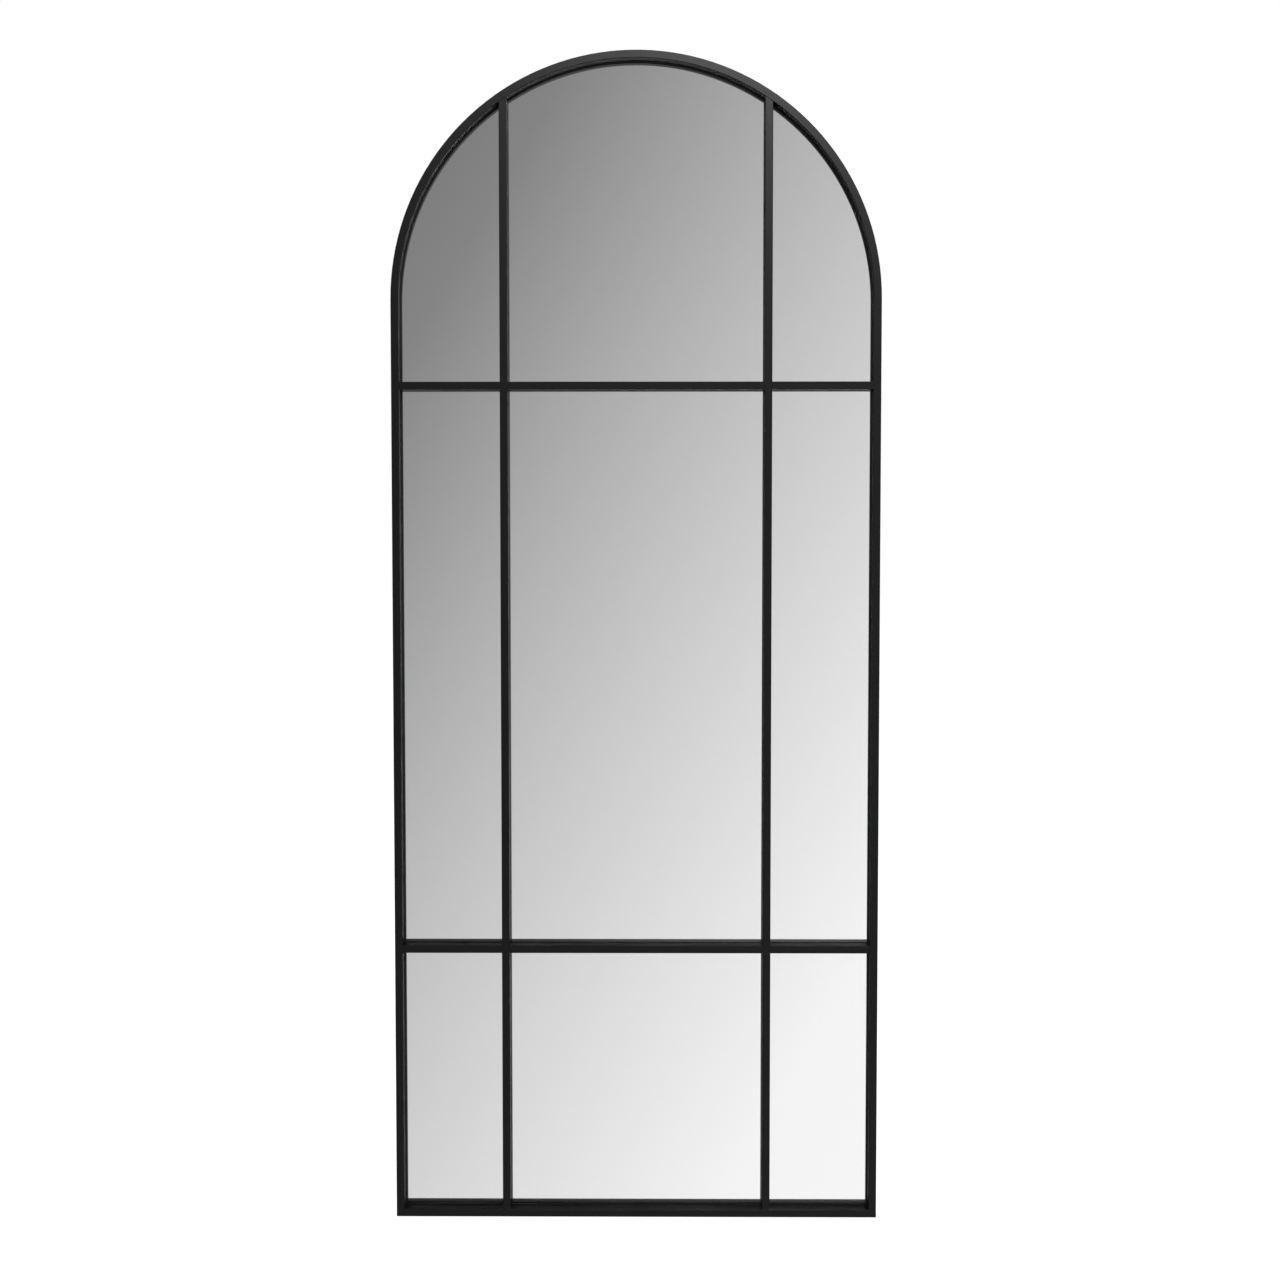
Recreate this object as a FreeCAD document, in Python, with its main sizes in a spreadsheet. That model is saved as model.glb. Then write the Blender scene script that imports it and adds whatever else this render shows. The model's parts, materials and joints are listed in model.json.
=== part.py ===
import FreeCAD
import Part
import Sketcher
import math
import os

# An arched window mirror for a wall. A frame of slim rectangular steel tube, two upright glazing
# bars and two transoms stand in front of one arched mirror pane, so that it looks like a window
# of nine lights. A fibreboard back and screwed clips hold the pane, and two D-rings hang it.
#
# +X is to the right as seen from the front, +Z is up, and the front faces -Y. The origin is the
# middle of the bottom rail's underside, half way through the depth of the frame tube.

Vector = FreeCAD.Vector
Rotation = FreeCAD.Rotation

STILE_CLIPS = 4
ARCH_CLIP_ANGLES = (30, 60, 90, 120, 150)
SIDES = {"left": -1, "right": 1}

# Driving dimensions, in millimetres: name, value, meaning.
SIZES = (
    ("overall_width", 750.0, "outside of one stile to outside of the other"),
    ("overall_height", 1800.0, "underside of the bottom rail to the crown of the arch"),
    ("tube_face", 12.0, "width of the frame tube as seen from the front"),
    ("tube_depth", 30.0, "front to rear of the frame tube"),
    ("tube_wall", 1.2, "wall of the frame tube"),
    ("tube_arris", 1.0, "outer corner radius of the frame tube"),
    ("bar_face", 12.0, "width of a glazing bar as seen from the front"),
    ("bar_wall", 1.0, "wall of the glazing bar tube"),
    ("bar_arris", 0.8, "outer corner radius of the glazing bar tube"),
    ("bar_offset", 202.5, "centre line of the mirror to the centre of an upright bar"),
    ("upper_transom_drop", 131.0, "springing line of the arch down to the upper transom"),
    ("lower_transom_level", 423.0, "underside of the rail up to the lower transom"),
    ("tape_width", 8.0, "foam tape between the bars and the pane"),
    ("tape_thickness", 0.7, "foam tape, pressed"),
    ("tape_end_gap", 2.0, "upright tape's top end to the arch"),
    ("pane_thickness", 4.0, "clear float glass"),
    ("pane_gap", 1.0, "edge of the pane to the frame"),
    ("pane_bevel", 0.5, "ground edge of the pane"),
    ("coating_thickness", 0.2, "silver and back paint"),
    ("coating_margin", 0.05, "ground edge of the pane to the edge of its coating"),
    ("layer_play", 0.05, "between the pane, its coating and the clips"),
    ("board_thickness", 3.0, "fibreboard back"),
    ("board_gap", 1.5, "edge of the back to the frame"),
    ("block_length", 50.0, "setting block under the pane"),
    ("block_height", 1.5, "top of the rail to the pane"),
    ("block_offset", 180.0, "centre line of the mirror to a setting block"),
    ("clip_width", 12.0, "retaining clip"),
    ("clip_reach", 19.0, "centre of the clip's screw to its inner end"),
    ("clip_tail", 5.0, "centre of the clip's screw to its outer end"),
    ("clip_thickness", 1.2, "retaining clip"),
    ("clip_corner", 1.5, "outer corners of a clip"),
    ("clip_margin", 120.0, "ends of a stile to the nearest clip"),
    ("rail_clip_offset", 180.0, "centre line of the mirror to a clip on the bottom rail"),
    ("screw_shank", 2.9, "self-tapping screws, over the thread"),
    ("screw_length", 8.0, "screws, under the head"),
    ("screw_head", 5.6, "head diameter"),
    ("screw_head_height", 2.0, "domed head of a clip screw"),
    ("screw_tip", 0.4, "radius of a screw's blunt tip"),
    ("recess_span", 2.6, "across the cross recess"),
    ("recess_slot", 0.8, "width of each slot of the recess"),
    ("recess_depth", 1.2, "depth of the recess"),
    ("screw_fit", 0.05, "gap round a screw in the tube wall"),
    ("clip_fit", 0.2, "gap round a screw in a clip or hanger"),
    ("hanger_drop", 35.0, "springing line down to the hinge axis of a ring"),
    ("strap_width", 8.0, "hanger strap and its knuckle"),
    ("strap_length", 36.0, "hinge axis to the lower end of the strap"),
    ("strap_thickness", 1.5, "hanger strap"),
    ("strap_corner", 2.0, "lower corners of a hanger strap"),
    ("strap_screw_first", 12.0, "hinge axis down to the upper screw"),
    ("strap_screw_spacing", 16.0, "upper screw to lower screw"),
    ("knuckle_rise", 0.4, "outside of the knuckle to the face of the stile"),
    ("roll_gap", 0.4, "end of the rolled strap to the rest of its knuckle"),
    ("ring_wire", 2.5, "wire of a D-ring"),
    ("ring_leg", 6.0, "hinge axis to the start of the ring's bow"),
    ("ring_bend", 2.0, "corner of the ring, to the middle of the wire"),
    ("ring_side_play", 0.25, "end of the knuckle to the start of the ring's corner"),
    ("pin_clearance", 0.1, "wire to the bore of the knuckle, on the radius"),
    ("bumper_diameter", 10.0, "rubber wall bumper at its base"),
    ("bumper_height", 7.0, "stands the mirror off the wall past its rings"),
    ("bumper_draft", 0.8, "how much smaller the radius is at the top"),
    ("bumper_edge", 0.8, "rounded edge of a bumper"),
    ("foot_bumper_level", 40.0, "underside of the rail up to a lower bumper"),
    ("head_bumper_drop", 200.0, "springing line down to an upper bumper"),
)

doc = FreeCAD.newDocument("arched_window_mirror")
sheet = doc.addObject("Spreadsheet::Sheet", "Sizes")
for row, (alias, number, meaning) in enumerate(SIZES, start=1):
    sheet.set(f"A{row}", meaning)
    sheet.set(f"B{row}", str(number))
    sheet.setAlias(f"B{row}", alias)
doc.recompute()

# Levels and radii that follow from the driving dimensions.
SPRINGING = "(Sizes.overall_height - Sizes.overall_width / 2)"
OPENING_RADIUS = "(Sizes.overall_width / 2 - Sizes.tube_face)"
TUBE_CENTRE = "(Sizes.overall_width / 2 - Sizes.tube_face / 2)"
FRONT = "(-Sizes.tube_depth / 2)"
REAR = "(Sizes.tube_depth / 2)"
BOARD_FRONT = f"({REAR} - Sizes.layer_play - Sizes.board_thickness)"
COATING_FRONT = f"({BOARD_FRONT} - Sizes.coating_thickness)"
PANE_FRONT = f"({COATING_FRONT} - Sizes.layer_play - Sizes.pane_thickness)"
TAPE_FRONT = f"({PANE_FRONT} - Sizes.tape_thickness)"
GLAZING_DEPTH = f"({REAR} - Sizes.layer_play - {PANE_FRONT})"
BAR_DEPTH = f"({TAPE_FRONT} - {FRONT})"
BAR_MIDDLE = f"({FRONT} + {BAR_DEPTH} / 2)"
PANE_BOTTOM = "(Sizes.tube_face + Sizes.block_height)"
UPPER_TRANSOM = f"({SPRINGING} - Sizes.upper_transom_drop)"
LOWER_TRANSOM = "Sizes.lower_transom_level"
HINGE_LEVEL = f"({SPRINGING} - Sizes.hanger_drop)"
KNUCKLE_BORE = "(Sizes.ring_wire / 2 + Sizes.pin_clearance)"
KNUCKLE_RADIUS = f"({KNUCKLE_BORE} + Sizes.strap_thickness)"
HINGE_STANDOFF = f"({KNUCKLE_RADIUS} + Sizes.knuckle_rise)"
STRAP_SCREWS = ("Sizes.strap_screw_first", "(Sizes.strap_screw_first + Sizes.strap_screw_spacing)")
# A ring is as wide, between the middles of its legs, as its knuckle and its two corners need.
RING_WIDTH = "(Sizes.strap_width + 2 * (Sizes.ring_side_play + Sizes.ring_bend))"
# The ring's outer edge is flush with the outer face of the stile.
HANGER_CENTRE = f"(Sizes.overall_width / 2 - {RING_WIDTH} / 2 - Sizes.ring_wire / 2)"

parts = {}


def value(expression):
    """The number that an expression on the sheet's cells gives."""
    return float(sheet.evalExpression(expression))


def stile_clip_level(index):
    """Height of a clip on a stile: evenly spaced between the two margins."""
    pitch = f"({SPRINGING} - 2 * Sizes.clip_margin) / {STILE_CLIPS - 1}"
    return f"(Sizes.clip_margin + {index} * {pitch})"


def around_arch(angle):
    """X and Z of the point at this angle on the middle of the arch tube, from its centre."""
    cosine = math.cos(math.radians(angle))
    sine = math.sin(math.radians(angle))
    return f"({TUBE_CENTRE} * ({cosine:.9f}))", f"({TUBE_CENTRE} * ({sine:.9f}))"


# ---- bodies, sketches and features ----


def new_body(label):
    body = doc.addObject("PartDesign::Body", label)
    body.Label = label
    parts[label] = body
    return body


def unlisted_body(name):
    """A body that is a member of a group, or the pattern for a group of copies."""
    body = new_body(name)
    del parts[name]
    return body


def place(thing, x="0", y="0", z="0", rotation=None):
    """Puts a body, box, link or compound where the expressions say."""
    base = Vector(value(x), value(y), value(z))
    thing.Placement = FreeCAD.Placement(base, rotation or Rotation())
    for axis, expression in (("x", x), ("y", y), ("z", z)):
        if expression != "0":
            thing.setExpression(f"Placement.Base.{axis}", expression)


def sketch_on(body, role, name, offset=None):
    """A sketch on one of the body's own origin planes, raised along its normal by offset."""
    sketch = body.newObject("Sketcher::SketchObject", f"{body.Name}_{name}")
    plane = next(feature for feature in body.Origin.OriginFeatures if feature.Role == role)
    sketch.AttachmentSupport = [(plane, "")]
    sketch.MapMode = "FlatFace"
    if offset:
        sketch.setExpression("AttachmentOffset.Base.z", offset)
    return sketch


def bind_point(sketch, geometry, position, x, y):
    """Fixes a point at coordinates that are expressions; "0" lies on the axis itself."""
    for kind, expression, axis in (("DistanceX", x, -2), ("DistanceY", y, -1)):
        if expression is None:
            continue
        if expression == "0":
            constraint = Sketcher.Constraint("PointOnObject", geometry, position, axis)
            sketch.addConstraint(constraint)
        else:
            number = value(expression)
            constraint = Sketcher.Constraint(kind, -1, 1, geometry, position, number)
            index = sketch.addConstraint(constraint)
            sketch.setExpression(f"Constraints[{index}]", expression)


def polygon(sketch, corners):
    """A closed outline of straight lines through corners given as pairs of expressions."""
    first = len(sketch.Geometry)
    count = len(corners)
    points = [Vector(value(x), value(y), 0) for x, y in corners]
    for index in range(count):
        line = Part.LineSegment(points[index], points[(index + 1) % count])
        sketch.addGeometry(line, False)
    for index in range(count):
        following = first + (index + 1) % count
        sketch.addConstraint(Sketcher.Constraint("Coincident", first + index, 2, following, 1))
    for index, (x, y) in enumerate(corners):
        bind_point(sketch, first + index, 1, x, y)


def rectangle(sketch, left, low, right, high):
    polygon(sketch, ((left, low), (right, low), (right, high), (left, high)))


def circle(sketch, x, y, radius):
    centre = Vector(value(x), value(y), 0)
    index = sketch.addGeometry(Part.Circle(centre, Vector(0, 0, 1), value(radius)), False)
    bind_point(sketch, index, 3, x, y)
    constraint = sketch.addConstraint(Sketcher.Constraint("Radius", index, value(radius)))
    sketch.setExpression(f"Constraints[{constraint}]", radius)


def arched_outline(sketch, middle, low, springing, radius):
    """A rectangle under a half circle: the shape of the opening, the pane and the back."""
    x, z, r = value(middle), value(springing), value(radius)
    first = len(sketch.Geometry)
    right_foot, left_foot = Vector(x + r, value(low), 0), Vector(x - r, value(low), 0)
    right_head, left_head = Vector(x + r, z, 0), Vector(x - r, z, 0)
    half_circle = Part.Circle(Vector(x, z, 0), Vector(0, 0, 1), r)
    sketch.addGeometry(Part.LineSegment(left_foot, right_foot), False)
    sketch.addGeometry(Part.LineSegment(right_foot, right_head), False)
    sketch.addGeometry(Part.ArcOfCircle(half_circle, 0, math.pi), False)
    sketch.addGeometry(Part.LineSegment(left_head, left_foot), False)
    for index in range(4):
        following = first + (index + 1) % 4
        sketch.addConstraint(Sketcher.Constraint("Coincident", first + index, 2, following, 1))
    right_edge = f"({middle} + {radius})"
    left_edge = f"({middle} - {radius})"
    bind_point(sketch, first, 1, left_edge, low)
    bind_point(sketch, first + 1, 1, right_edge, low)
    bind_point(sketch, first + 2, 1, right_edge, springing)
    bind_point(sketch, first + 2, 3, middle, springing)
    bind_point(sketch, first + 2, 2, None, springing)


def feature(body, kind, name, profile):
    made = body.newObject(f"PartDesign::{kind}", f"{body.Name}_{name}")
    made.Profile = profile
    profile.Visibility = False
    return made


def pad(body, name, profile, length, reverse=False, symmetric=False):
    made = feature(body, "Pad", name, profile)
    made.setExpression("Length", length)
    made.Reversed = reverse
    if symmetric:
        made.SideType = "Symmetric"
    doc.recompute()
    return made


def pocket_through(body, name, profile, reverse=False, symmetric=False):
    """Cuts a profile all the way through, and makes sure that it removed something."""
    before = body.Shape.Volume
    made = feature(body, "Pocket", name, profile)
    made.Type = "ThroughAll"
    made.Reversed = reverse
    if symmetric:
        made.SideType = "Symmetric"
    doc.recompute()
    if made.Shape.isNull() or before - made.Shape.Volume < 1e-3:
        raise RuntimeError(f"{made.Name} cuts nothing")
    return made


def round_edges(body, base, chosen, radius):
    """Rounds the edges of the base feature that the test chooses."""
    names = [f"Edge{i}" for i, edge in enumerate(base.Shape.Edges, start=1) if chosen(edge)]
    made = body.newObject("PartDesign::Fillet", f"{body.Name}_arris")
    made.Base = (base, names)
    made.setExpression("Radius", radius)
    doc.recompute()
    return made


def upright(edge):
    """True for a straight edge along Z."""
    if not isinstance(edge.Curve, Part.Line):
        return False
    return abs(edge.Curve.Direction.z) > 0.999


# ---- tube ----


def straight_tube(label, face, depth, wall, arris, length):
    """A rectangular tube along +Z, its section centred on the Z axis."""
    body = new_body(label)
    section = sketch_on(body, "XY_Plane", "section")
    rectangle(section, f"-{face} / 2", f"-{depth} / 2", f"{face} / 2", f"{depth} / 2")
    solid = pad(body, "pad", section, length)
    round_edges(body, solid, upright, arris)
    bore = sketch_on(body, "XY_Plane", "bore_section")
    x, y = f"({face} / 2 - {wall})", f"({depth} / 2 - {wall})"
    rectangle(bore, f"-{x}", f"-{y}", x, y)
    pocket_through(body, "bore", bore, reverse=True)
    return body


def frame_tube(label, length):
    return straight_tube(
        label, "Sizes.tube_face", "Sizes.tube_depth", "Sizes.tube_wall", "Sizes.tube_arris", length
    )


def bar_tube(label, length):
    return straight_tube(
        label, "Sizes.bar_face", BAR_DEPTH, "Sizes.bar_wall", "Sizes.bar_arris", length
    )


def rear_holes(body, name, spots):
    """Screw holes through the rear wall of a frame tube; spots are X and Z in the body."""
    sketch = sketch_on(body, "XZ_Plane", name)
    for x, z in spots:
        circle(sketch, x, z, "(Sizes.screw_shank / 2 + Sizes.screw_fit)")
    pocket_through(body, f"{name}_cut", sketch, reverse=False)


def stile(label, side):
    """An upright of the frame, mitred at its foot, square at the springing line."""
    body = frame_tube(label, SPRINGING)
    mitre = sketch_on(body, "XZ_Plane", "mitre")
    outer = f"({side} * Sizes.tube_face / 2)"
    inner = f"({-side} * Sizes.tube_face / 2)"
    polygon(mitre, ((outer, "0"), (inner, "Sizes.tube_face"), (inner, "0")))
    pocket_through(body, "mitre_cut", mitre, symmetric=True)
    spots = [("0", stile_clip_level(index)) for index in range(STILE_CLIPS)]
    strap_x = f"({side} * ({HANGER_CENTRE} - {TUBE_CENTRE}))"
    spots += [(strap_x, f"({HINGE_LEVEL} - {drop})") for drop in STRAP_SCREWS]
    rear_holes(body, "screw_holes", spots)
    place(body, x=f"({side} * {TUBE_CENTRE})")


def bottom_rail():
    """The foot of the frame, mitred into both stiles. Its own +X axis points down."""
    body = frame_tube("bottom_rail", "Sizes.overall_width")
    mitres = sketch_on(body, "XZ_Plane", "mitres")
    under, top = "(Sizes.tube_face / 2)", "(-Sizes.tube_face / 2)"
    polygon(mitres, ((under, "0"), (top, "0"), (top, "Sizes.tube_face")))
    far = "Sizes.overall_width"
    polygon(mitres, ((under, far), (top, far), (top, f"({far} - Sizes.tube_face)")))
    pocket_through(body, "mitre_cuts", mitres, symmetric=True)
    half = "Sizes.overall_width / 2"
    offset = "Sizes.rail_clip_offset"
    rear_holes(body, "screw_holes", (("0", f"({half} - {offset})"), ("0", f"({half} + {offset})")))
    lying = Rotation(Vector(0, 1, 0), 90)
    place(body, x=f"(-{half})", z="(Sizes.tube_face / 2)", rotation=lying)


def half_turn(body, kind, name, profile):
    """Revolves a section over the top of the arch, as a Revolution or a Groove."""
    made = feature(body, kind, name, profile)
    made.ReferenceAxis = (profile, ["V_Axis"])
    made.Angle = 180
    made.Reversed = True
    doc.recompute()
    return made


def arch_tube():
    """The head of the frame: the same tube bent to a half circle, square at its two ends."""
    body = new_body("arch_tube")
    outside = "Sizes.overall_width / 2"
    section = sketch_on(body, "XY_Plane", "section")
    rectangle(section, OPENING_RADIUS, FRONT, outside, REAR)
    solid = half_turn(body, "Revolution", "bend", section)
    round_edges(body, solid, lambda edge: isinstance(edge.Curve, Part.Circle), "Sizes.tube_arris")
    bore = sketch_on(body, "XY_Plane", "bore_section")
    wall = "Sizes.tube_wall"
    rectangle(
        bore,
        f"({OPENING_RADIUS} + {wall})",
        f"({FRONT} + {wall})",
        f"({outside} - {wall})",
        f"({REAR} - {wall})",
    )
    half_turn(body, "Groove", "bore", bore)
    rear_holes(body, "screw_holes", [around_arch(angle) for angle in ARCH_CLIP_ANGLES])
    place(body, z=SPRINGING)


# ---- glazing bars ----


def upright_bar(label, side):
    """A bar from the rail to the arch, its top coped to the inside of the arch."""
    rise = f"({SPRINGING} + {OPENING_RADIUS} - Sizes.tube_face)"
    body = bar_tube(label, rise)
    cope = sketch_on(body, "XZ_Plane", "cope")
    middle = f"({-side} * Sizes.bar_offset)"
    springing = f"({SPRINGING} - Sizes.tube_face)"
    arched_outline(cope, middle, "(-Sizes.tube_face)", springing, OPENING_RADIUS)
    reach = "Sizes.overall_width"
    high = "Sizes.overall_height"
    rectangle(cope, f"(-{reach})", f"(-{reach})", reach, high)
    pocket_through(body, "cope_cut", cope, symmetric=True)
    place(body, x=f"({side} * Sizes.bar_offset)", y=BAR_MIDDLE, z="Sizes.tube_face")


def transom(label, start, length, level):
    """A short bar that lies along +X between two uprights."""
    body = bar_tube(label, length)
    lying = Rotation(Vector(0, 1, 0), 90)
    place(body, x=start, y=BAR_MIDDLE, z=level, rotation=lying)


def transoms():
    half_bar = "Sizes.bar_face / 2"
    outer = f"({OPENING_RADIUS} - Sizes.bar_offset - {half_bar})"
    centre = "(2 * Sizes.bar_offset - Sizes.bar_face)"
    runs = (
        ("left", f"(-{OPENING_RADIUS})", outer),
        ("centre", f"({half_bar} - Sizes.bar_offset)", centre),
        ("right", f"(Sizes.bar_offset + {half_bar})", outer),
    )
    for level_name, level in (("upper", UPPER_TRANSOM), ("lower", LOWER_TRANSOM)):
        for run_name, start, length in runs:
            transom(f"{level_name}_transom_{run_name}", start, length, level)


# ---- pane, back and what beds them ----


def box(name, x, y, z, length, width, height):
    made = doc.addObject("Part::Box", name)
    made.setExpression("Length", length)
    made.setExpression("Width", width)
    made.setExpression("Height", height)
    place(made, x, y, z)
    return made


def group(label, members):
    """Separate solids that share one node."""
    made = doc.addObject("Part::Compound", label)
    made.Label = label
    made.Links = members
    parts[label] = made
    doc.recompute()
    return made


def upright_tapes():
    """A strip of foam tape down the back of each upright bar, short of the arch."""
    half = "Sizes.tape_width / 2"
    outer_edge = f"(Sizes.bar_offset + {half})"
    crown = f"({SPRINGING} + sqrt({OPENING_RADIUS} ^ 2 - {outer_edge} ^ 2))"
    height = f"({crown} - Sizes.tape_end_gap - {PANE_BOTTOM})"
    strips = []
    for name, side in SIDES.items():
        x = f"({side} * Sizes.bar_offset - {half})"
        size = ("Sizes.tape_width", "Sizes.tape_thickness", height)
        strips.append(box(f"{name}_upright_tape", x, TAPE_FRONT, PANE_BOTTOM, *size))
    group("upright_bar_tapes", strips)


def transom_tapes():
    """Foam tape on each length of transom, butted against the upright strips."""
    half = "Sizes.tape_width / 2"
    pane_edge = f"({OPENING_RADIUS} - Sizes.pane_gap)"
    outer = f"({pane_edge} - Sizes.bar_offset - {half})"
    centre = "(2 * Sizes.bar_offset - Sizes.tape_width)"
    runs = (
        ("left", f"(-{pane_edge})", outer),
        ("centre", f"({half} - Sizes.bar_offset)", centre),
        ("right", f"(Sizes.bar_offset + {half})", outer),
    )
    strips = []
    for level_name, level in (("upper", UPPER_TRANSOM), ("lower", LOWER_TRANSOM)):
        for run_name, start, length in runs:
            name = f"{level_name}_{run_name}_tape"
            size = (length, "Sizes.tape_thickness", "Sizes.tape_width")
            strips.append(box(name, start, TAPE_FRONT, f"({level} - {half})", *size))
    group("transom_tapes", strips)


def arched_sheet(label, front, bottom, radius, thickness):
    """A flat sheet in the shape of the opening, from its front face rearwards."""
    body = new_body(label)
    outline = sketch_on(body, "XZ_Plane", "outline")
    arched_outline(outline, "0", "0", f"({SPRINGING} - {bottom})", radius)
    sheet_pad = pad(body, "pad", outline, thickness, reverse=True)
    place(body, y=front, z=bottom)
    return body, sheet_pad


def mirror_pane():
    radius = f"({OPENING_RADIUS} - Sizes.pane_gap)"
    body, solid = arched_sheet(
        "mirror_pane", PANE_FRONT, PANE_BOTTOM, radius, "Sizes.pane_thickness"
    )
    names = []
    for index, edge in enumerate(solid.Shape.Edges, start=1):
        middle = edge.CenterOfMass.y
        if min(abs(middle), abs(middle - value("Sizes.pane_thickness"))) < 1e-6:
            names.append(f"Edge{index}")
    bevel = body.newObject("PartDesign::Chamfer", "mirror_pane_bevel")
    bevel.Base = (solid, names)
    bevel.setExpression("Size", "Sizes.pane_bevel")
    doc.recompute()


def mirror_coating():
    inset = "(Sizes.pane_bevel + Sizes.coating_margin)"
    radius = f"({OPENING_RADIUS} - Sizes.pane_gap - {inset})"
    bottom = f"({PANE_BOTTOM} + {inset})"
    arched_sheet("mirror_coating", COATING_FRONT, bottom, radius, "Sizes.coating_thickness")


def backboard():
    radius = f"({OPENING_RADIUS} - Sizes.board_gap)"
    arched_sheet("backboard", BOARD_FRONT, PANE_BOTTOM, radius, "Sizes.board_thickness")


def setting_blocks():
    """Two blocks on the rail that the pane and the back stand on."""
    blocks = []
    for name, side in SIDES.items():
        x = f"({side} * Sizes.block_offset - Sizes.block_length / 2)"
        size = ("Sizes.block_length", GLAZING_DEPTH, "Sizes.block_height")
        blocks.append(box(f"{name}_block", x, PANE_FRONT, "Sizes.tube_face", *size))
    group("setting_blocks", blocks)


def edge_strips():
    """Foam that fills the gap round the pane: up both sides and over the arch, and on the rail."""
    strip = unlisted_body("arched_strip")
    outside = sketch_on(strip, "XZ_Plane", "outside")
    springing = f"({SPRINGING} - Sizes.tube_face)"
    outer_radius = f"({OPENING_RADIUS} - Sizes.layer_play)"
    arched_outline(outside, "0", "0", springing, outer_radius)
    pad(strip, "pad", outside, GLAZING_DEPTH, reverse=True)
    inside = sketch_on(strip, "XZ_Plane", "inside")
    inner_radius = f"({OPENING_RADIUS} - Sizes.pane_gap + Sizes.layer_play)"
    arched_outline(inside, "0", "(-Sizes.tube_face)", springing, inner_radius)
    pocket_through(strip, "inside_cut", inside)
    place(strip, y=PANE_FRONT, z="Sizes.tube_face")
    block_inner = "(Sizes.block_offset - Sizes.block_length / 2)"
    block_outer = "(Sizes.block_offset + Sizes.block_length / 2)"
    outer = f"({inner_radius} - Sizes.layer_play - {block_outer})"
    runs = (
        ("left", f"(-{block_outer} - {outer})", outer),
        ("centre", f"(-{block_inner})", f"(2 * {block_inner})"),
        ("right", block_outer, outer),
    )
    strips = [strip]
    height = "(Sizes.block_height - Sizes.layer_play)"
    for name, start, length in runs:
        size = (length, GLAZING_DEPTH, height)
        strips.append(box(f"{name}_rail_strip", start, PANE_FRONT, "Sizes.tube_face", *size))
    group("edge_strips", strips)


# ---- clips, screws and bumpers ----


def copies(source, name, spots):
    """Links to one body at each spot: X, Y, Z and the angle that its own +X points at."""
    links = []
    for index, (x, y, z, angle) in enumerate(spots, start=1):
        link = doc.addObject("App::Link", f"{name}_{index}")
        link.LinkedObject = source
        place(link, x, y, z, Rotation(Vector(0, 1, 0), -angle))
        links.append(link)
    return links


def clip_spots(y):
    """Every place where a clip is screwed down, at this depth, pointing into the opening."""
    spots = []
    for side in SIDES.values():
        inward = 0 if side < 0 else 180
        x = f"({side} * {TUBE_CENTRE})"
        spots += [(x, y, stile_clip_level(i), inward) for i in range(STILE_CLIPS)]
        rail_x = f"({side} * Sizes.rail_clip_offset)"
        spots.append((rail_x, y, "(Sizes.tube_face / 2)", 90))
    for angle in ARCH_CLIP_ANGLES:
        x, z = around_arch(angle)
        spots.append((x, y, f"({SPRINGING} + {z})", angle + 180))
    return spots


def retaining_clips():
    """Flat steel clips from the back of the tube over the edge of the backboard."""
    body = unlisted_body("clip_pattern")
    outline = sketch_on(body, "XZ_Plane", "outline")
    half = "Sizes.clip_width / 2"
    rectangle(outline, "(-Sizes.clip_tail)", f"(-{half})", "Sizes.clip_reach", f"({half})")
    plate = pad(body, "pad", outline, "Sizes.clip_thickness", reverse=True)
    reach = value("Sizes.clip_reach")
    tolerance = 1e-6

    def inner_corner(edge):
        middle = edge.CenterOfMass
        across = isinstance(edge.Curve, Part.Line) and abs(edge.Curve.Direction.y) > 0.999
        return across and abs(middle.x - reach) < tolerance

    def outer_corner(edge):
        middle = edge.CenterOfMass
        across = isinstance(edge.Curve, Part.Line) and abs(edge.Curve.Direction.y) > 0.999
        return across and middle.x < 0

    inner = round_edges(body, plate, inner_corner, "(Sizes.clip_width / 2 - 0.01)")
    round_edges(body, inner, outer_corner, "Sizes.clip_corner")
    hole = sketch_on(body, "XZ_Plane", "hole")
    circle(hole, "0", "0", "(Sizes.screw_shank / 2 + Sizes.clip_fit)")
    pocket_through(body, "hole_cut", hole)
    group("retaining_clips", copies(body, "clip", clip_spots(REAR)))


def cross_recess(body, face_level):
    """The cross slot in a screw's head, cut from this level down."""
    recess = sketch_on(body, "XZ_Plane", "recess", offset=f"(-{face_level})")
    long, short = "(Sizes.recess_span / 2)", "(Sizes.recess_slot / 2)"
    corners = (
        (long, f"-{short}"), (long, short), (short, short), (short, long),
        (f"-{short}", long), (f"-{short}", short), (f"-{long}", short), (f"-{long}", f"-{short}"),
        (f"-{short}", f"-{short}"), (f"-{short}", f"-{long}"), (short, f"-{long}"),
        (short, f"-{short}"),
    )
    polygon(recess, corners)
    before = body.Shape.Volume
    cut = feature(body, "Pocket", "recess_cut", recess)
    cut.setExpression("Length", "Sizes.recess_depth")
    cut.Reversed = True
    doc.recompute()
    if before - cut.Shape.Volume < 1e-3:
        raise RuntimeError(f"{cut.Name} cuts nothing")


def full_turn(body, name, profile):
    made = feature(body, "Revolution", name, profile)
    made.ReferenceAxis = (profile, ["V_Axis"])
    made.Angle = 360
    doc.recompute()
    return made


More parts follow.
